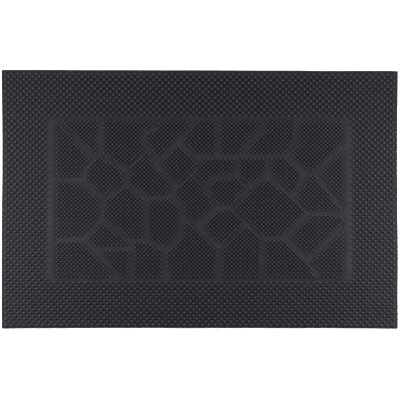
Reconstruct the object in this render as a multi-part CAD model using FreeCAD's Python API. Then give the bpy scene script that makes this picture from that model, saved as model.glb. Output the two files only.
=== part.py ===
import FreeCAD, Part
import os
from FreeCAD import Vector

# Moulded rubber door mat. A thin sheet with nubs below carries two fields of upright pins:
# a coarse one around the border, and a finer one on 32 stones laid out like crazy paving.
# A smooth band frames the stones, and the bare joints between them show the base sheet.
# Millimetres. The mat lies flat: X is its long side, Y runs to its back edge, Z is up,
# and the origin is at the middle of its underside.

# Overall size
mat_length = 600.0
mat_width = 400.0
corner_radius = 1.2

# Layers, from the floor up
nub_height = 0.6
backing_thickness = 0.6
base_thickness = 1.8
pad_thickness = 0.5
border_pin_height = 4.5
stone_pin_height = 4.0

# Bevelled outer edge, and the bare rim between it and the border pins
bevel_width = 0.8
bevel_height = 0.8
rim_width = 2.9

# Border pins stand on a staggered grid that divides the mat evenly
border_columns = 127
border_rows = 85
border_depth_x = 14
border_depth_y = 15
border_pin_radius = 1.3

# Stone pins stand on a staggered grid of their own
stone_columns = 137
stone_rows = 75
stone_column_step = 3.25
stone_row_step = 3.27
stone_pin_radius = 0.95
stone_pin_margin = 1.1

# The field of stones inside the band, and the joints between the stones
field_length = 437.7
field_width = 244.2
joint_width = 5.2
stone_corner_radius = 0.8

# How far a point may stray and still count as lying in a plane or on an outline
reach = 0.01

# Nubs under the mat
nub_radius = 3.0
nub_step = 20.0
nub_edge_margin = 20.0

# Levels that follow from the layers
backing_top = nub_height + backing_thickness
base_top = backing_top + base_thickness
pad_top = base_top + pad_thickness

# Places that follow from the grids
border_column_step = mat_length / (border_columns + 1)
border_row_step = mat_width / (border_rows + 1)
band_x = mat_length / 2 - (border_depth_x + 0.5) * border_column_step
band_y = mat_width / 2 - (border_depth_y + 0.5) * border_row_step
stone_edge_x = field_length / 2
stone_edge_y = field_width / 2
panel_x = stone_edge_x + joint_width / 2
panel_y = stone_edge_y + joint_width / 2

# Where the middles of the joints meet each other (p), bend, or run into the band at
# the back (t), the front (b), the left (l) and the right (r)
corners = {
    "TL": (-panel_x, panel_y),
    "TR": (panel_x, panel_y),
    "BL": (-panel_x, -panel_y),
    "BR": (panel_x, -panel_y),
    "t1": (-218, panel_y),
    "t2": (-152, panel_y),
    "t3": (-65, panel_y),
    "t4": (-8, panel_y),
    "t5": (28, panel_y),
    "t6": (101, panel_y),
    "t7": (147, panel_y),
    "b1": (-123, -panel_y),
    "b2": (-106, -panel_y),
    "b3": (-52, -panel_y),
    "b4": (29, -panel_y),
    "b5": (95, -panel_y),
    "b6": (186, -panel_y),
    "l1": (-panel_x, 31),
    "l2": (-panel_x, -63),
    "r1": (panel_x, 88),
    "r2": (panel_x, -18),
    "r3": (panel_x, -23),
    "r4": (panel_x, -38),
    "p1": (-161, 64),
    "p2": (-175, 48),
    "p3": (-177, 29),
    "p4": (-149, -2),
    "p5": (-153, 71),
    "p6": (-113, 45),
    "p7": (-113, 24),
    "p8": (-79, 81),
    "p9": (-87, 91),
    "p10": (-86, 102),
    "p11": (-66, 113),
    "p12": (-69, 57),
    "p13": (-32, 90),
    "p14": (-5, 66),
    "p15": (-1, 53),
    "p16": (-14, 42),
    "p17": (10, 20),
    "p18": (-37, 19),
    "p19": (-45, 4),
    "p20": (-83, 1),
    "p21": (-27, -13),
    "p22": (-26, -28),
    "p23": (-28, -56),
    "p24": (-53, -79),
    "p25": (-82, -63),
    "p26": (-108, -64),
    "p27": (-104, -77),
    "p28": (-151, -31),
    "p29": (-178, -62),
    "p30": (-162, -77),
    "p31": (-103, -90),
    "p32": (28, 67),
    "p33": (57, 67),
    "p34": (67, 67),
    "p35": (105, 67),
    "p36": (133, 67),
    "p37": (69, 82),
    "p38": (94, 106),
    "p39": (147, 90),
    "p40": (57, 37),
    "p41": (22, 34),
    "p42": (75, 19),
    "p43": (104, 38),
    "p44": (21, -6),
    "p45": (28, -13),
    "p46": (50, -13),
    "p47": (71, -37),
    "p48": (160, 42),
    "p49": (158, 29),
    "p50": (142, 5),
    "p51": (178, 40),
    "p52": (166, -21),
    "p53": (131, -59),
    "p54": (95, -60),
    "p55": (165, -96),
    "p56": (30, -76),
    "p57": (-2, -43),
}

# The corners of each stone, clockwise, from the back left to the front right
stones = [
    "TL t1 p1 p2 p3 l1",
    "t1 t2 p5 p1",
    "t2 t3 p11 p10 p9 p8 p6 p5",
    "t3 t4 p13 p12 p8 p9 p10 p11",
    "t4 t5 p32 p14 p13",
    "t5 t6 p38 p37 p34 p33 p32",
    "t6 t7 p39 p36 p35 p34 p37 p38",
    "t7 TR r1 p51 p48 p36 p39",
    "r1 r2 p51",
    "p48 p51 r2 r3 p52 p50 p49",
    "p1 p5 p6 p7 p4 p3 p2",
    "p6 p8 p12 p18 p19 p20 p7",
    "p12 p13 p14 p15 p16 p18",
    "p14 p32 p33 p40 p41 p17 p16 p15",
    "p33 p34 p35 p43 p42 p40",
    "p35 p36 p48 p49 p50 p43",
    "l1 p3 p4 p28 p29 l2",
    "p7 p20 p25 p26 p28 p4",
    "p20 p19 p21 p22 p23 p24 p25",
    "p18 p16 p17 p44 p45 p57 p22 p21 p19",
    "p41 p40 p42 p46 p45 p44 p17",
    "p43 p50 p52 p53 p54 p47 p46 p42",
    "p45 p46 p47 p56 p57",
    "r3 r4 p55 p53 p52",
    "r4 BR b6 p55",
    "p28 p26 p27 p30 p29",
    "l2 p29 p30 b1 BL",
    "p30 p27 p31 b2 b1",
    "p27 p26 p25 p24 b3 b2 p31",
    "p24 p23 p22 p57 p56 b4 b3",
    "p56 p47 p54 b5 b4",
    "p53 p55 b6 b5 p54",
]


def rectangle(x_low, x_high, y_low, y_high, z):
    """A closed rectangular wire at height z."""
    points = [
        Vector(x_low, y_low, z),
        Vector(x_high, y_low, z),
        Vector(x_high, y_high, z),
        Vector(x_low, y_high, z),
    ]
    return Part.makePolygon(points + points[:1])


def mat_slab(z_low, thickness):
    """A slab of the mat's full outline with rounded corners."""
    half_x = mat_length / 2
    half_y = mat_width / 2
    outline = rectangle(-half_x, half_x, -half_y, half_y, z_low)
    slab = Part.Face(outline).extrude(Vector(0, 0, thickness))
    uprights = [edge for edge in slab.Edges if edge.BoundBox.ZLength > thickness / 2]
    return slab.makeFillet(corner_radius, uprights)


def staggered(x_start, x_step, columns, y_start, y_step, rows):
    """Every second point of a grid, like the black squares of a chessboard."""
    points = []
    for row in range(rows):
        for column in range(row % 2, columns, 2):
            points.append(Vector(x_start + column * x_step, y_start + row * y_step, 0))
    return points


def studded(slab, face_height, radius, stud_height, centres):
    """One solid: a slab whose top face, at face_height, carries round studs.

    Each stud gives its wall and its tip, and its foot becomes a hole in the slab's top
    face, so that the skin closes with no joining of solids.
    """
    top = max(slab.Faces, key=lambda face: face.CenterOfMass.z)
    skin = [face for face in slab.Faces if not face.isSame(top)]
    feet = []
    for centre in centres:
        base = Vector(centre.x, centre.y, face_height)
        stud = Part.makeCylinder(radius, stud_height, base)
        foot = min(stud.Faces, key=lambda face: face.CenterOfMass.z)
        feet.append(foot.OuterWire)
        skin += [face for face in stud.Faces if not face.isSame(foot)]
    skin.append(Part.Face([top.OuterWire] + feet))
    return Part.Solid(Part.Shell(skin))


def border_field(x_low, x_high, y_low, y_high, pins):
    """One side of the border: a flat pad with the coarse pins that stand inside it."""
    outline = rectangle(x_low, x_high, y_low, y_high, base_top)
    pad = Part.Face(outline).extrude(Vector(0, 0, pad_thickness))
    own = [pin for pin in pins if x_low < pin.x < x_high and y_low < pin.y < y_high]
    return studded(pad, pad_top, border_pin_radius, border_pin_height, own)


def band_strip(x_low, x_high, y_low, y_high):
    """One side of the smooth band that frames the stones."""
    outline = rectangle(x_low, x_high, y_low, y_high, base_top)
    return Part.Face(outline).extrude(Vector(0, 0, pad_thickness))


def stone(names, pins):
    """A paving stone: a pad drawn in from the middles of its joints, with its fine pins.

    Its pins are those of the grid that stand far enough inside the pad's edge.
    """
    points = [Vector(*corners[name], base_top) for name in names.split()]
    middle = Part.makePolygon(points + points[:1])
    drawn_in = middle.makeOffset2D(-joint_width / 2 - stone_corner_radius, 2)
    outline = drawn_in.makeOffset2D(stone_corner_radius, 0)
    pad = Part.Face(outline).extrude(Vector(0, 0, pad_thickness))
    ground = Part.Face(middle.makeOffset2D(reach - joint_width / 2 - stone_pin_margin, 2))
    box = ground.BoundBox
    box.enlarge(stone_pin_margin)
    sites = [Vector(pin.x, pin.y, base_top) for pin in pins]
    near = [site for site in sites if box.isInside(site)]
    own = [site for site in near if ground.isInside(site, reach, True)]
    return studded(pad, pad_top, stone_pin_radius, stone_pin_height, own)


def underside_grip():
    """The backing layer with round nubs. It is made nubs up, then turned over."""
    columns = int((mat_length - 2 * nub_edge_margin) / nub_step) + 1
    rows = int((mat_width - 2 * nub_edge_margin) / nub_step) + 1
    nubs = []
    for row in range(rows):
        for column in range(columns):
            x = nub_edge_margin + column * nub_step - mat_length / 2
            y = nub_edge_margin + row * nub_step - mat_width / 2
            nubs.append(Vector(x, y, 0))
    backing = mat_slab(-backing_top, backing_thickness)
    upturned = studded(backing, -nub_height, nub_radius, nub_height, nubs)
    return upturned.rotated(Vector(0, 0, 0), Vector(1, 0, 0), 180)


def base_sheet():
    """The sheet that joins everything, with its top edge bevelled all round."""
    slab = mat_slab(backing_top, base_thickness)
    rim = [edge for edge in slab.Edges if edge.BoundBox.ZMin > base_top - reach]
    return slab.makeChamfer(bevel_height, bevel_width, rim)


def save(name, shape):
    """Writes one sub-part, after a check that it is one sound, closed solid."""
    if shape.Volume < 0:
        shape.reverse()
    if not shape.isValid() or len(shape.Solids) != 1:
        raise ValueError(name + " is not one valid solid")
    shape.exportStep("parts/" + name + ".step")
    print(name, "faces:", len(shape.Faces))


os.makedirs("parts", exist_ok=True)

save("underside_grip", underside_grip())
save("base_sheet", base_sheet())

border_pins = staggered(
    border_column_step - mat_length / 2,
    border_column_step,
    border_columns,
    border_row_step - mat_width / 2,
    border_row_step,
    border_rows,
)
rim_x = mat_length / 2 - rim_width
rim_y = mat_width / 2 - rim_width
save("border_back", border_field(-rim_x, rim_x, band_y, rim_y, border_pins))
save("border_front", border_field(-rim_x, rim_x, -rim_y, -band_y, border_pins))
save("border_left", border_field(-rim_x, -band_x, -band_y, band_y, border_pins))
save("border_right", border_field(band_x, rim_x, -band_y, band_y, border_pins))

save("band_back", band_strip(-band_x, band_x, stone_edge_y, band_y))
save("band_front", band_strip(-band_x, band_x, -band_y, -stone_edge_y))
save("band_left", band_strip(-band_x, -stone_edge_x, -stone_edge_y, stone_edge_y))
save("band_right", band_strip(stone_edge_x, band_x, -stone_edge_y, stone_edge_y))

stone_pins = staggered(
    (1 - stone_columns) / 2 * stone_column_step,
    stone_column_step,
    stone_columns,
    (1 - stone_rows) / 2 * stone_row_step,
    stone_row_step,
    stone_rows,
)
for number, names in enumerate(stones, start=1):
    save("stone_%02d" % number, stone(names, stone_pins))
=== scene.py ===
import math
import random

import bpy
import numpy
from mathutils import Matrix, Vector, noise
from mathutils.geometry import delaunay_2d_cdt


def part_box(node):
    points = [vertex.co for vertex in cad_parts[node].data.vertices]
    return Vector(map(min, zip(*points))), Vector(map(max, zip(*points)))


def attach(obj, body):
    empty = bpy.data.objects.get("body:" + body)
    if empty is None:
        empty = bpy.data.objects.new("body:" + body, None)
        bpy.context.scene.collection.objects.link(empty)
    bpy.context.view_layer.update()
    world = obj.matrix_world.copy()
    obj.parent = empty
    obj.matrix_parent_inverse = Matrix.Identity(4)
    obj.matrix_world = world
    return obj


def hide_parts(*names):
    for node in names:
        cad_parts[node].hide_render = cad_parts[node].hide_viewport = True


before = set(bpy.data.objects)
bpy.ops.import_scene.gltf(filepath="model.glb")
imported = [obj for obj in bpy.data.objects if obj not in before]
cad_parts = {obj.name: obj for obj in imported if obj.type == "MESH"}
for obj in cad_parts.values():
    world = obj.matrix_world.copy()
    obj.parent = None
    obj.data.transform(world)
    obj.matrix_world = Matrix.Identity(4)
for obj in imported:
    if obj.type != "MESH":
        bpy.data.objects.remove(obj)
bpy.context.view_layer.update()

mm = 0.001

# ---------------------------------------------------------------------------------------
# Underside. A thin backing of black rubber, moulded in one with rows of low round nubs.
# The nubs hold the mat off the floor so that water drains away, and stop it from sliding.
# It comes out of the mould dull and a little chalky, and is bonded to the sheet above it.

mat_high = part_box("base_sheet")[1]
half_length = mat_high.x
half_width = mat_high.y
mat_corner_radius = 1.2 * mm
longest_edge = 8 * mm
same_level = 0.02 * mm

# How the rubber has settled. The shifts are in millimetres, and the waist's place and
# reach are shares of half the mat's width.
rim_depth = 2.8 * mm
rim_slope = 0.6 * rim_depth
end_rim_spread = 1.4
back_rim_spread = 2.6
front_rim_spread = 0.1
end_growth = 0.45
end_splay = 0.95
waist_draw = 1.15
waist_place = 0.35
waist_reach = 0.5
back_rise = 0.5
back_skew = 1.0
front_rise = 0.2
front_droop = 0.9
wander_size = 0.35
waves_per_metre = 17


def rim_share(coordinate, half):
    """How far out over the bare rim a point lies, from 0 inside it to 1 at the edge."""
    return min(1.0, max(0.0, (rim_depth - half + abs(coordinate)) / rim_slope))


def wander(x, y, layer):
    """A smooth uneven shift of the rubber, the same each time for the same place."""
    return wander_size * noise.noise(Vector((x * waves_per_metre, y * waves_per_metre, layer)))


def settled(x, y):
    """Where a point of the true rectangle lies once the rubber has cooled and relaxed.

    The sides draw in between their corners, the back edge runs a little out of square,
    and all the edges wander slightly. The bare rim outside the pins has spread most.
    """
    along = x / half_length
    across = y / half_width
    end_rim = end_rim_spread * rim_share(x, half_length)
    long_rim = (back_rim_spread if y > 0 else front_rim_spread) * rim_share(y, half_width)
    waist = waist_draw * math.exp(-(((across - waist_place) / waist_reach) ** 2))
    back_edge = back_rise - back_skew * along
    front_edge = front_rise - front_droop * along**4
    share = (across + 1) / 2
    shift_x = along * (end_growth + end_splay * across - waist + end_rim) + wander(x, y, 4.3)
    shift_y = share * back_edge + (1 - share) * front_edge + long_rim + wander(x, y, 9.7)
    return x + shift_x * mm, y + shift_y * mm


def rounded_rectangle(half_x, half_y, radius, steps=8):
    """The corners of a rectangle with rounded corners, anticlockwise."""
    points = []
    for turn, (side_x, side_y) in enumerate([(1, 1), (-1, 1), (-1, -1), (1, -1)]):
        for step in range(steps + 1):
            angle = math.radians(90 * (turn + step / steps))
            x = side_x * (half_x - radius) + radius * math.cos(angle)
            y = side_y * (half_y - radius) + radius * math.sin(angle)
            points.append(Vector((x, y)))
    return points


def edges_of(outline):
    """The edges of a closed outline, each as its two ends."""
    return zip(outline, outline[1:] + outline[:1])


def divided(outline):
    """The same outline with its long edges cut into shorter ones, so that they can bend."""
    points = []
    for here, there in edges_of(outline):
        cuts = max(1, math.ceil((there - here).length / longest_edge))
        points += [here.lerp(there, cut / cuts) for cut in range(cuts)]
    return points


def drawn_in(outline, distance):
    """An anticlockwise outline moved inwards by a small distance."""
    sharpest = 0.5
    points = []
    for before, (here, after) in zip(outline[-1:] + outline[:-1], edges_of(outline)):
        arriving = (here - before).normalized()
        leaving = (after - here).normalized()
        left = Vector((-leaving.y, leaving.x))
        inward = (arriving + leaving).normalized().orthogonal() * -1
        if inward.dot(left) < 0:
            inward = -inward
        points.append(here + inward * distance / max(sharpest, inward.dot(left)))
    return points


def inside(point, outline):
    """Whether a point lies inside an outline."""
    crossings = 0
    for here, there in edges_of(outline):
        if (here.y > point.y) != (there.y > point.y):
            x = here.x + (point.y - here.y) / (there.y - here.y) * (there.x - here.x)
            crossings += x > point.x
    return crossings % 2 == 1


def vertices_of(node):
    """The corners of a CAD node's mesh, one row each."""
    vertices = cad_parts[node].data.vertices
    places = numpy.empty(3 * len(vertices), numpy.float32)
    vertices.foreach_get("co", places)
    return places.reshape(-1, 3).astype(float)


def stud_places(node, spacing_x, spacing_y, face_down=False):
    """The middles of the studs of a CAD node, read from the corners of their tips."""
    places = vertices_of(node)
    level = places[:, 2].min() if face_down else places[:, 2].max()
    tips = places[abs(places[:, 2] - level) < same_level, :2]
    cells = numpy.unique(numpy.round(tips / (spacing_x, spacing_y)), axis=0)
    return [Vector((column * spacing_x, row * spacing_y)) for column, row in cells]


def walls_between(first, count, rings):
    """The four-sided faces between rings of count points that follow each other."""
    faces = []
    for start in range(first, first + count * (rings - 1), count):
        for k in range(count):
            here = start + k
            there = start + (k + 1) % count
            faces.append((here, there, there + count, here + count))
    return faces


def face_between(points, rim, roots):
    """Triangles that fill a face between its rim and the round roots of its studs."""
    on_rim = -1
    nearest = 1e-8
    ids = list(rim)
    owners = [on_rim] * len(rim)
    for number, root in enumerate(roots):
        ids += root
        owners += [number] * len(root)
    places = [Vector(points[i][:2]) for i in ids]
    order = {point: k for k, point in enumerate(ids)}
    borders = [(order[a], order[b]) for loop in [rim, *roots] for a, b in edges_of(loop)]
    filled = delaunay_2d_cdt(places, borders, [], 0, nearest)
    rim_outline = places[: len(rim)]
    faces = []
    for triangle in filled[2]:
        corners = [filled[3][corner][0] for corner in triangle]
        owned = {owners[k] for k in corners}
        if owned == {on_rim}:
            centre = (places[corners[0]] + places[corners[1]] + places[corners[2]]) / 3
            wanted = inside(centre, rim_outline)
        else:
            wanted = len(owned) > 1
        if wanted:
            faces.append(tuple(ids[k] for k in corners))
    return faces


def moulded_skin(outline, edge, studs=(), sides=12, face_down=False):
    """One closed skin: a pad whose last face carries studs, settled as the rubber is.

    edge lists (distance in from the outline, height) from the pad's back to its face.
    Each stud is (middle, profile), and its profile lists (radius, height, lean) from its
    root to its tip. The face is filled between its rim and the roots of the studs. The
    number of points on the pad's own edge, which come first, is given as well.
    """
    points = []
    rim = len(outline)
    for distance, height in edge:
        points += [(*settled(p.x, p.y), height) for p in drawn_in(outline, distance)]
    faces = walls_between(0, rim, len(edge))
    faces.append(tuple(reversed(range(rim))))

    angles = [2 * math.pi * k / sides for k in range(sides)]
    turns = [(math.cos(angle), math.sin(angle)) for angle in angles]
    roots = []
    for middle, profile in studs:
        root = len(points)
        stand_x, stand_y = settled(middle.x, middle.y)
        for radius, height, lean in profile[:-1]:
            x = stand_x + lean.x
            y = stand_y + lean.y
            points += [(x + radius * cosine, y + radius * sine, height) for cosine, sine in turns]
        tip_height, tip_lean = profile[-1][1:]
        tip = len(points)
        points.append((stand_x + tip_lean.x, stand_y + tip_lean.y, tip_height))
        faces += walls_between(root, sides, len(profile) - 1)
        last = tip - sides
        faces += [(last + k, last + (k + 1) % sides, tip) for k in range(sides)]
        roots.append(list(range(root, root + sides)))

    edge_points = rim * len(edge)
    faces += face_between(points, list(range(edge_points - rim, edge_points)), roots)
    if face_down:
        faces = [face[::-1] for face in faces]
    return points, faces, edge_points


def make_piece(name, skin, material, nodes, sharp_angle=35):
    """A piece of the mat from its skin, which stands for CAD nodes and rides on the one body."""
    points, faces, edge_points = skin
    mesh = bpy.data.meshes.new(name)
    mesh.from_pydata(points, [], faces)
    bare = mesh.attributes.new("bare", "FLOAT", "POINT")
    bare.data.foreach_set("value", [float(number < edge_points) for number in range(len(points))])
    mesh.shade_smooth()
    mesh.set_sharp_from_angle(angle=math.radians(sharp_angle))
    mesh.materials.append(material)
    piece = bpy.data.objects.new(name, mesh)
    bpy.context.scene.collection.objects.link(piece)
    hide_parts(*nodes)
    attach(piece, "root")


def new_group(name, inputs, outputs):
    """An empty shader node group with its sockets, and its input and output nodes."""
    group = bpy.data.node_groups.new(name, "ShaderNodeTree")
    for label, kind, value in inputs:
        socket = group.interface.new_socket(label, in_out="INPUT", socket_type=kind)
        socket.default_value = value
    for label, kind in outputs:
        group.interface.new_socket(label, in_out="OUTPUT", socket_type=kind)
    return group, group.nodes.new("NodeGroupInput"), group.nodes.new("NodeGroupOutput")


def feed(tree, socket, value):
    """Sets a socket to a plain number or colour, or links another socket to it."""
    if isinstance(value, (int, float, tuple)):
        socket.default_value = value
    else:
        tree.links.new(value, socket)


def texture(tree, kind, scale, coordinates, **settings):
    """Adds a texture node of a set scale, measured in the mat's own metres."""
    node = tree.nodes.new(kind)
    feed(tree, node.inputs["Scale"], scale)
    for label, value in settings.items():
        node.inputs[label.replace("_", " ").title()].default_value = value
    tree.links.new(coordinates, node.inputs["Vector"])
    return node


def calculate(tree, operation, *values):
    """Adds a math node that takes sockets or plain numbers. Gives its result's socket."""
    node = tree.nodes.new("ShaderNodeMath")
    node.operation = operation
    for socket, value in zip(node.inputs, values):
        feed(tree, socket, value)
    return node.outputs[0]


def spread(tree, value, low, high, new_low, new_high):
    """Adds a map range node with a smooth step. Gives its result's socket."""
    node = tree.nodes.new("ShaderNodeMapRange")
    node.interpolation_type = "SMOOTHSTEP"
    labels = ["Value", "From Min", "From Max", "To Min", "To Max"]
    for label, number in zip(labels, [value, low, high, new_low, new_high]):
        feed(tree, node.inputs[label], number)
    return node.outputs["Result"]


def blended(tree, factor, first, second, mode="MIX"):
    """Adds a colour mix node. Gives its result's socket."""
    node = tree.nodes.new("ShaderNodeMix")
    node.data_type = "RGBA"
    node.blend_type = mode
    for number, value in [(0, factor), (6, first), (7, second)]:
        feed(tree, node.inputs[number], value)
    return node.outputs[2]


# The fine pebbled skin that a sand-blasted mould leaves on rubber, with a few pinholes.
pinhole_scale = 170.0
pebble_depth = 0.5
roughness_swing = 0.22
grain, grain_in, grain_out = new_group(
    "moulded_grain",
    [("Grain Scale", "NodeSocketFloat", 900.0), ("Pinholes", "NodeSocketFloat", 0.3)],
    [("Height", "NodeSocketFloat"), ("Roughness Change", "NodeSocketFloat")],
)
where = grain.nodes.new("ShaderNodeTexCoord").outputs["Object"]
grain_scale = grain_in.outputs["Grain Scale"]
pebbles = texture(grain, "ShaderNodeTexVoronoi", grain_scale, where)
smear = texture(grain, "ShaderNodeTexNoise", grain_scale, where, detail=3.0)
holes = texture(grain, "ShaderNodeTexVoronoi", pinhole_scale, where)
pinholes = spread(grain, holes.outputs["Distance"], 0.05, 0.12, 1.0, 0.0)
pinholes = calculate(grain, "MULTIPLY", pinholes, grain_in.outputs["Pinholes"])
pebbled = calculate(grain, "ADD", pebbles.outputs["Distance"], smear.outputs[0])
raised = calculate(grain, "MULTIPLY", pebbled, pebble_depth)
grain.links.new(calculate(grain, "SUBTRACT", raised, pinholes), grain_out.inputs["Height"])
uneven = calculate(grain, "SUBTRACT", smear.outputs[0], 0.5)
change = calculate(grain, "MULTIPLY", uneven, roughness_swing)
grain.links.new(change, grain_out.inputs["Roughness Change"])

# Cloudy light and dark areas where carbon and wax have come up unevenly, a hand wide and
# a finger wide, with a faint warm cast in places.
hand_wide = 11.0
finger_wide = 75.0
cast_wide = 26.0
warm_cast = (1.12, 0.99, 0.93, 1)
mottle, mottle_in, mottle_out = new_group(
    "rubber_mottle",
    [("Colour", "NodeSocketColor", (0.03, 0.03, 0.03, 1)), ("Strength", "NodeSocketFloat", 0.3)],
    [("Colour", "NodeSocketColor")],
)
where = mottle.nodes.new("ShaderNodeTexCoord").outputs["Object"]
wide = texture(mottle, "ShaderNodeTexNoise", hand_wide, where, detail=2.0)
narrow = texture(mottle, "ShaderNodeTexNoise", finger_wide, where, detail=3.0)
cast = texture(mottle, "ShaderNodeTexNoise", cast_wide, where, detail=1.0)
cloud = calculate(mottle, "ADD", wide.outputs[0], narrow.outputs[0])
cloud = calculate(mottle, "SUBTRACT", cloud, 1.0)
lift = calculate(mottle, "MULTIPLY", cloud, mottle_in.outputs["Strength"])
lift = calculate(mottle, "ADD", calculate(mottle, "MULTIPLY", lift, 2.0), 1.0)
tone = mottle.nodes.new("ShaderNodeCombineColor")
for channel in tone.inputs[:3]:
    mottle.links.new(lift, channel)
toned = blended(mottle, 1.0, mottle_in.outputs["Colour"], tone.outputs[0], "MULTIPLY")
warm = spread(mottle, cast.outputs[0], 0.42, 0.62, 0.0, 0.6)
tinted = blended(mottle, 1.0, toned, warm_cast, "MULTIPLY")
mottle.links.new(blended(mottle, warm, toned, tinted), mottle_out.inputs["Colour"])


def rubber(name, colour, grain_depth, mottling=0.25, grain_scale=900, roughness=0.6, gloss=0.1,
           pinholes=0.3):
    """Black rubber as it leaves the mould."""
    material = bpy.data.materials.new(name)
    material.use_nodes = True
    tree = material.node_tree
    shader = tree.nodes["Principled BSDF"]
    shader.inputs["Specular IOR Level"].default_value = gloss
    clouds = tree.nodes.new("ShaderNodeGroup")
    clouds.node_tree = mottle
    clouds.inputs["Colour"].default_value = (*colour, 1)
    clouds.inputs["Strength"].default_value = mottling
    skin = tree.nodes.new("ShaderNodeGroup")
    skin.node_tree = grain
    skin.inputs["Grain Scale"].default_value = grain_scale
    skin.inputs["Pinholes"].default_value = pinholes
    bump = tree.nodes.new("ShaderNodeBump")
    bump.inputs["Strength"].default_value = 0.6
    bump.inputs["Distance"].default_value = grain_depth
    tree.links.new(skin.outputs["Height"], bump.inputs["Height"])
    tree.links.new(bump.outputs["Normal"], shader.inputs["Normal"])
    rough = calculate(tree, "ADD", skin.outputs["Roughness Change"], roughness)
    tree.links.new(rough, shader.inputs["Roughness"])
    tree.links.new(clouds.outputs["Colour"], shader.inputs["Base Color"])
    return material


underside_rubber = rubber(
    "underside_rubber", (0.026, 0.026, 0.028), 0.15 * mm, mottling=0.45, grain_scale=500,
    roughness=0.72, gloss=0.3, pinholes=0.8,
)

nub_spacing = 20.0 * mm
nub_height = 0.6 * mm
nub_sides = 20
backing_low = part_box("underside_grip")[0].z + nub_height
backing_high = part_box("underside_grip")[1].z
mat_outline = divided(rounded_rectangle(half_length, half_width, mat_corner_radius))
upright = Vector((0, 0))
# Each row is (radius, height above the floor) in millimetres, from the nub's root down.
nub_shape = [
    (3.25, 0.6), (3.02, 0.52), (2.95, 0.3), (2.85, 0.12), (2.6, 0.02), (1.3, 0.0), (0, 0.0),
]
nub_profile = [(radius * mm, height * mm, upright) for radius, height in nub_shape]
nub_middles = stud_places("underside_grip", nub_spacing, nub_spacing, face_down=True)
nubs = [(middle, nub_profile) for middle in nub_middles]
grip_edge = [
    (0, backing_high),
    (0, backing_low + 0.12 * mm),
    (0.05 * mm, backing_low + 0.04 * mm),
    (0.15 * mm, backing_low),
]
grip = moulded_skin(mat_outline, grip_edge, nubs, nub_sides, face_down=True)
make_piece("underside", grip, underside_rubber, ["underside_grip"])

# ---------------------------------------------------------------------------------------
# Base sheet. The body of the mat: a flat sheet of black rubber with a bevelled edge. Its
# face is seen in the joints between the stones and as a bare rim outside the pins. It is
# rubbed smooth by the mould and picks up a thin grey film of dust.

bevel_width = 0.8 * mm
bevel_height = 0.8 * mm
base_face = mat_high.z
smooth_grain_depth = 0.06 * mm

# Grey dust that has settled on faces that look up, in soft patches, and is brushed off
# the rim outside the pins.
patch_scale = 38.0
speck_scale = 1400.0
dust, dust_in, dust_out = new_group(
    "settled_dust",
    [
        ("Colour", "NodeSocketColor", (0.03, 0.03, 0.03, 1)),
        ("Dust", "NodeSocketColor", (0.12, 0.12, 0.12, 1)),
        ("Amount", "NodeSocketFloat", 0.3),
    ],
    [("Colour", "NodeSocketColor")],
)
where = dust.nodes.new("ShaderNodeTexCoord").outputs["Object"]
facing = dust.nodes.new("ShaderNodeSeparateXYZ")
dust.links.new(dust.nodes.new("ShaderNodeNewGeometry").outputs["Normal"], facing.inputs[0])
upward = spread(dust, facing.outputs["Z"], 0.45, 0.98, 0.0, 1.0)
patches = texture(dust, "ShaderNodeTexNoise", patch_scale, where, detail=5.0, roughness=0.65)
specks = texture(dust, "ShaderNodeTexNoise", speck_scale, where, detail=2.0)
patchy = spread(dust, patches.outputs[0], 0.3, 0.7, 0.45, 1.0)
speckled = spread(dust, specks.outputs[0], 0.35, 0.65, 0.6, 1.0)
inward = dust.nodes.new("ShaderNodeSeparateXYZ")
dust.links.new(where, inward.inputs[0])
from_end = calculate(
    dust, "SUBTRACT", half_length, calculate(dust, "ABSOLUTE", inward.outputs["X"])
)
from_side = calculate(
    dust, "SUBTRACT", half_width, calculate(dust, "ABSOLUTE", inward.outputs["Y"])
)
from_rim = calculate(dust, "MINIMUM", from_end, from_side)
sheltered = spread(dust, from_rim, 2 * mm, 10 * mm, 0.0, 1.0)
cover = calculate(dust, "MULTIPLY", patchy, speckled)
for mask in [upward, sheltered, dust_in.outputs["Amount"]]:
    cover = calculate(dust, "MULTIPLY", cover, mask)
covered = blended(dust, cover, dust_in.outputs["Colour"], dust_in.outputs["Dust"])
dust.links.new(covered, dust_out.inputs["Colour"])


def lay_over(material, group, values):
    """Lays an effect over a rubber's colour, with its own colours and amounts."""
    tree = material.node_tree
    base_colour = tree.nodes["Principled BSDF"].inputs["Base Color"]
    layer = tree.nodes.new("ShaderNodeGroup")
    layer.node_tree = group
    for label, value in values.items():
        layer.inputs[label].default_value = value
    tree.links.new(base_colour.links[0].from_socket, layer.inputs["Colour"])
    tree.links.new(layer.outputs["Colour"], base_colour)


sheet_rubber = rubber("sheet_rubber", (0.0070, 0.0074, 0.0088), smooth_grain_depth)
lay_over(sheet_rubber, dust, {"Dust": (0.0210, 0.0221, 0.0262, 1), "Amount": 0.46})

sheet_edge = [
    (0, backing_high),
    (0, base_face - bevel_height),
    (0.15 * bevel_width, base_face - 0.55 * bevel_height),
    (0.45 * bevel_width, base_face - 0.22 * bevel_height),
    (0.85 * bevel_width, base_face - 0.05 * bevel_height),
    (1.3 * bevel_width, base_face),
]
sheet = moulded_skin(mat_outline, sheet_edge)
make_piece("base_sheet_skin", sheet, sheet_rubber, ["base_sheet"], sharp_angle=60)

# ---------------------------------------------------------------------------------------
# Border. Four strips of coarse upright pins scrape the soles. Each pin tapers from a
# filleted root to a domed tip, and leans a little, as it was pulled from the mould. The
# pins are painted lighter towards their tips, a painted highlight with some scuffing,
# and the pads between the roots are painted dark as shade.

border_spacing_x = 2 * half_length / 128
border_spacing_y = 2 * half_width / 86
pad_edge_round = 0.08 * mm
bond_depth = 0.05 * mm
pin_grain_depth = 0.05 * mm
pad_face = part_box("band_back")[1].z
luck = random.Random(11)
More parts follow.
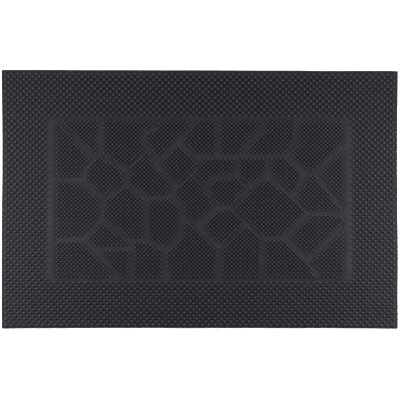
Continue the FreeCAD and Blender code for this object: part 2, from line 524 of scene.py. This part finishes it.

# Painted light that grows from the root of a pin to its tip, more on some pins than on others,
# with some wear on the tips. The ground between the roots and the low part of each pin are
# painted dark as shade, the tips are painted light as a highlight, and the open margin of the
# pad has its own unshaded colour.
uneven_scale = 120.0
scuff_scale = 1800.0
wear_and_light, wear_and_light_in, wear_and_light_out = new_group(
    "tip_wear_and_painted_light",
    [
        ("Colour", "NodeSocketColor", (0.03, 0.03, 0.03, 1)),
        ("Worn Highlight", "NodeSocketColor", (0.1, 0.1, 0.1, 1)),
        ("Shadowed", "NodeSocketColor", (0.01, 0.01, 0.01, 1)),
        ("Margin", "NodeSocketColor", (0.01, 0.01, 0.01, 1)),
        ("Root Height", "NodeSocketFloat", 0.0035),
        ("Tip Height", "NodeSocketFloat", 0.008),
    ],
    [("Colour", "NodeSocketColor")],
)
where = wear_and_light.nodes.new("ShaderNodeTexCoord").outputs["Object"]
place = wear_and_light.nodes.new("ShaderNodeSeparateXYZ")
wear_and_light.links.new(where, place.inputs[0])
root_height = wear_and_light_in.outputs["Root Height"]
depth = calculate(wear_and_light, "SUBTRACT", place.outputs["Z"], root_height)
length = calculate(wear_and_light, "SUBTRACT", wear_and_light_in.outputs["Tip Height"], root_height)
climb = calculate(wear_and_light, "DIVIDE", depth, length)
uneven = texture(wear_and_light, "ShaderNodeTexNoise", uneven_scale, where, detail=2.0)
scuffs = texture(wear_and_light, "ShaderNodeTexNoise", scuff_scale, where, detail=3.0)
luckier = spread(wear_and_light, uneven.outputs[0], 0.35, 0.65, 0.65, 1.0)
scuffed = spread(wear_and_light, scuffs.outputs[0], 0.3, 0.7, 0.75, 1.0)
# Painted highlight with some wear: the tips are painted light, more on some pins than on others.
tips = spread(wear_and_light, climb, 0.84, 0.95, 0.0, 1.0)
tips = calculate(wear_and_light, "MULTIPLY", calculate(wear_and_light, "MULTIPLY", tips, luckier), scuffed)
# Painted shade: low on each pin and on the ground between the roots the colour darkens to the
# shadowed colour; only the pad's open margin, the points of its own edge, keeps the margin
# colour.
shade = spread(wear_and_light, climb, 0.0, 0.6, 1.0, 0.0)
outskirts = wear_and_light.nodes.new("ShaderNodeAttribute")
outskirts.attribute_name = "bare"
open_margin = spread(wear_and_light, outskirts.outputs["Fac"], 0.1, 0.6, 0.0, 1.0)
ground = blended(wear_and_light, open_margin, wear_and_light_in.outputs["Shadowed"], wear_and_light_in.outputs["Margin"])
deep = blended(wear_and_light, shade, wear_and_light_in.outputs["Colour"], ground)
wear_and_light.links.new(blended(wear_and_light, tips, deep, wear_and_light_in.outputs["Worn Highlight"]), wear_and_light_out.inputs["Colour"])


def room_inside(point, outline):
    """How far a point stands from the nearest edge of an outline."""
    gaps = []
    for here, there in edges_of(outline):
        along = there - here
        share = min(1, max(0, (point - here).dot(along) / along.length_squared))
        gaps.append((point - here - along * share).length)
    return min(gaps)


def pin(middle, tip, radius, shape, room):
    """A pin with its own small lean, girth and height.

    shape lists (share of the radius, share of the height) from root to tip, and the pin
    is no wider than the room it has on its pad.
    """
    lean = Vector((luck.gauss(0, 0.12), luck.gauss(0, 0.12))) * mm
    girth = radius * luck.uniform(0.95, 1.04)
    rise = (tip - pad_face) * luck.uniform(0.965, 1.0)
    profile = [
        (min(room, girth * wide), pad_face + rise * high, lean * high**2) for wide, high in shape
    ]
    return middle, profile


def foot_outline(node):
    """The outline of a CAD pad's lowest face, anticlockwise."""
    places = vertices_of(node)
    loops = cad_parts[node].data.loops
    triangles = numpy.empty(len(loops), numpy.int32)
    loops.foreach_get("vertex_index", triangles)
    corners = places[triangles.reshape(-1, 3)]
    foot = corners[corners[:, :, 2].max(axis=1) < places[:, 2].min() + same_level]
    steps = set()
    for triangle in foot[:, :, :2].round(6).tolist():
        steps.update(edges_of([tuple(corner) for corner in triangle]))
    following = {there: here for here, there in steps if (there, here) not in steps}
    outline = [min(following)]
    while following[outline[-1]] != outline[0]:
        outline.append(following[outline[-1]])
    return [Vector(place) for place in outline]


def pinned_pad(node, spacing_x, spacing_y, radius, shape, sides):
    """The skin of one pad with its pins, from the CAD node that it stands for."""
    tip = vertices_of(node)[:, 2].max()
    foot = foot_outline(node)
    edge = [
        (0, base_face - bond_depth),
        (0, pad_face - 1.5 * pad_edge_round),
        (0.3 * pad_edge_round, pad_face - 0.5 * pad_edge_round),
        (pad_edge_round, pad_face),
    ]
    pins = []
    for middle in stud_places(node, spacing_x, spacing_y):
        room = room_inside(middle, foot) - 1.5 * pad_edge_round
        pins.append(pin(middle, tip, radius, shape, room))
    return moulded_skin(divided(foot), edge, pins, sides)


# This rubber colour lights the upper sides of the pins, a painted highlight. The shadowed colour
# is painted shade between the roots, and the tip colour is a painted highlight with some wear.
border_rubber = rubber("border_rubber", (0.0181, 0.0190, 0.0226), pin_grain_depth)
border_wear_and_light = {
    "Worn Highlight": (0.0314, 0.0330, 0.0392, 1),
    "Shadowed": (0.0086, 0.0090, 0.0108, 1),
    "Margin": (0.0092, 0.0097, 0.0116, 1),
    "Root Height": pad_face,
    "Tip Height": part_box("border_back")[1].z,
}
lay_over(border_rubber, wear_and_light, border_wear_and_light)

border_pin_radius = 1.3 * mm
border_pin_sides = 12
border_pin_shape = [
    (1.2, 0.0), (1.1, 0.03), (1.04, 0.1), (1.0, 0.3), (0.97, 0.62), (0.95, 0.86), (0.88, 0.95),
    (0.6, 0.99), (0, 1.0),
]
for side in ["back", "front", "left", "right"]:
    node = "border_" + side
    skin = pinned_pad(
        node, border_spacing_x, border_spacing_y, border_pin_radius, border_pin_shape,
        border_pin_sides,
    )
    make_piece("pins_" + side, skin, border_rubber, [node])

# ---------------------------------------------------------------------------------------
# Frame band. Four plain strips, as high as the pads, frame the stones like a kerb. They
# are part of the same moulding and matt, and all carry some dust. The two end strips are
# painted lighter than the long ones, a painted lit side where the lamps at the ends fall.

kerb_edge_round = 0.12 * mm
kerb_edge = [
    (0, base_face - bond_depth),
    (0, pad_face - kerb_edge_round),
    (kerb_edge_round / 3, pad_face - kerb_edge_round / 3),
    (kerb_edge_round, pad_face),
]
# Each finish lists its strips, the rubber's colour, and the colour and amount of its dust.
kerb_finishes = {
    "long_band_rubber": (
        ["back", "front"], (0.0066, 0.0070, 0.0083), (0.0164, 0.0172, 0.0204, 1), 0.35
    ),
    # Painted light: the end strips' lighter rubber and dust stand for the light of the lamps at
    # the ends.
    "end_band_rubber_painted_lit": (
        ["left", "right"], (0.0072, 0.0076, 0.0090), (0.0190, 0.0200, 0.0237, 1), 0.4
    ),
}
for name, (sides, bare_colour, dust_colour, amount) in kerb_finishes.items():
    kerb_rubber = rubber(name, bare_colour, smooth_grain_depth)
    lay_over(kerb_rubber, dust, {"Dust": dust_colour, "Amount": amount})
    for side in sides:
        node = "band_" + side
        kerb = moulded_skin(divided(foot_outline(node)), kerb_edge)
        make_piece("kerb_" + side, kerb, kerb_rubber, [node])

# ---------------------------------------------------------------------------------------
# Stones. Thirty-two flat pads of different outlines, fitted together like crazy paving,
# each with its own patch of fine pins. The pins are slimmer than the border's, and the
# joints between the stones are left bare so that water and grit run off.

stone_count = 32
stone_spacing_x = 3.25 * mm
stone_spacing_y = 3.27 * mm
stone_pin_radius = 0.95 * mm
stone_pin_sides = 10
stone_pin_shape = [
    (1.1, 0.0), (1.04, 0.03), (1.01, 0.1), (0.99, 0.45), (0.97, 0.84), (0.9, 0.945),
    (0.62, 0.99), (0, 1.0),
]
# This rubber colour lights the upper sides of the pins, a painted highlight. The shadowed colour
# is painted shade between the roots, and the tip colour is a painted highlight with some wear.
stone_rubber = rubber("stone_rubber", (0.0204, 0.0215, 0.0255), pin_grain_depth)
stone_wear_and_light = {
    "Worn Highlight": (0.0368, 0.0387, 0.0459, 1),
    "Shadowed": (0.0074, 0.0078, 0.0093, 1),
    "Margin": (0.0098, 0.0104, 0.0124, 1),
    "Root Height": pad_face,
    "Tip Height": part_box("stone_01")[1].z,
}
lay_over(stone_rubber, wear_and_light, stone_wear_and_light)
for number in range(1, stone_count + 1):
    node = "stone_%02d" % number
    skin = pinned_pad(
        node, stone_spacing_x, stone_spacing_y, stone_pin_radius, stone_pin_shape, stone_pin_sides
    )
    make_piece("paving_%02d" % number, skin, stone_rubber, [node])

# ---------------------------------------------------------------------------------------
# Studio. The mat lies on a plain white floor under a soft overcast sky. Small softboxes
# stand close to its two ends and long ones further off behind and in front of it. The
# camera looks down on it from high above its front edge.

floor_half = 40.0
floor_corners = [(-floor_half, -floor_half, 0), (floor_half, -floor_half, 0),
                 (floor_half, floor_half, 0), (-floor_half, floor_half, 0)]
floor_mesh = bpy.data.meshes.new("floor")
floor_mesh.from_pydata(floor_corners, [], [(0, 1, 2, 3)])
floor_paint = bpy.data.materials.new("floor_paint")
floor_paint.use_nodes = True
floor_shader = floor_paint.node_tree.nodes["Principled BSDF"]
floor_shader.inputs["Base Color"].default_value = (0.9, 0.9, 0.9, 1)
floor_shader.inputs["Roughness"].default_value = 0.9
floor_shader.inputs["Specular IOR Level"].default_value = 0.0
floor_mesh.materials.append(floor_paint)
floor = bpy.data.objects.new("floor", floor_mesh)
bpy.context.scene.collection.objects.link(floor)

sky = bpy.data.worlds.new("studio_sky")
sky.use_nodes = True
sky_light = sky.node_tree.nodes["Background"]
sky_light.inputs["Color"].default_value = (0.97, 0.985, 1.0, 1)
sky_light.inputs["Strength"].default_value = 0.54
bpy.context.scene.world = sky

# Each softbox lists its place, the point it is aimed at, its sides and its power.
softboxes = {
    "softbox_left": ((-0.62, -0.04, 0.35), (-0.25, -0.03, 0.0), (0.3, 0.3), 7.8),
    "softbox_right": ((0.62, -0.04, 0.35), (0.25, -0.03, 0.0), (0.3, 0.3), 7.8),
    "softbox_back": ((0.0, 1.2, 0.5), (0.0, 0.0, 0.0), (1.0, 0.4), 16.0),
    "softbox_front": ((0.0, -1.2, 0.5), (0.0, 0.0, 0.0), (1.0, 0.4), 16.0),
}
for name, (stand, aim, sides, power) in softboxes.items():
    lamp = bpy.data.lights.new(name, "AREA")
    lamp.shape = "RECTANGLE"
    lamp.size, lamp.size_y = sides
    lamp.energy = power
    softbox = bpy.data.objects.new(name, lamp)
    softbox.location = stand
    softbox.rotation_euler = (Vector(aim) - Vector(stand)).to_track_quat("-Z", "Y").to_euler()
    softbox.visible_camera = False
    bpy.context.scene.collection.objects.link(softbox)

tilt = math.radians(13.2)
camera_distance = 18.0
view_width = 0.6088
aim_point = Vector((0.5 * mm, -0.84 * mm, 5 * mm))
camera_data = bpy.data.cameras.new("camera")
camera_data.sensor_width = 36.0
camera_data.lens = camera_data.sensor_width * camera_distance / view_width
camera_data.clip_start = 0.1
camera_data.clip_end = 100.0
camera = bpy.data.objects.new("camera", camera_data)
camera.location = aim_point + Vector((0, -math.sin(tilt), math.cos(tilt))) * camera_distance
camera.rotation_euler = (tilt, 0, 0)
bpy.context.scene.collection.objects.link(camera)
bpy.context.scene.camera = camera
bpy.context.scene.view_settings.view_transform = "Standard"
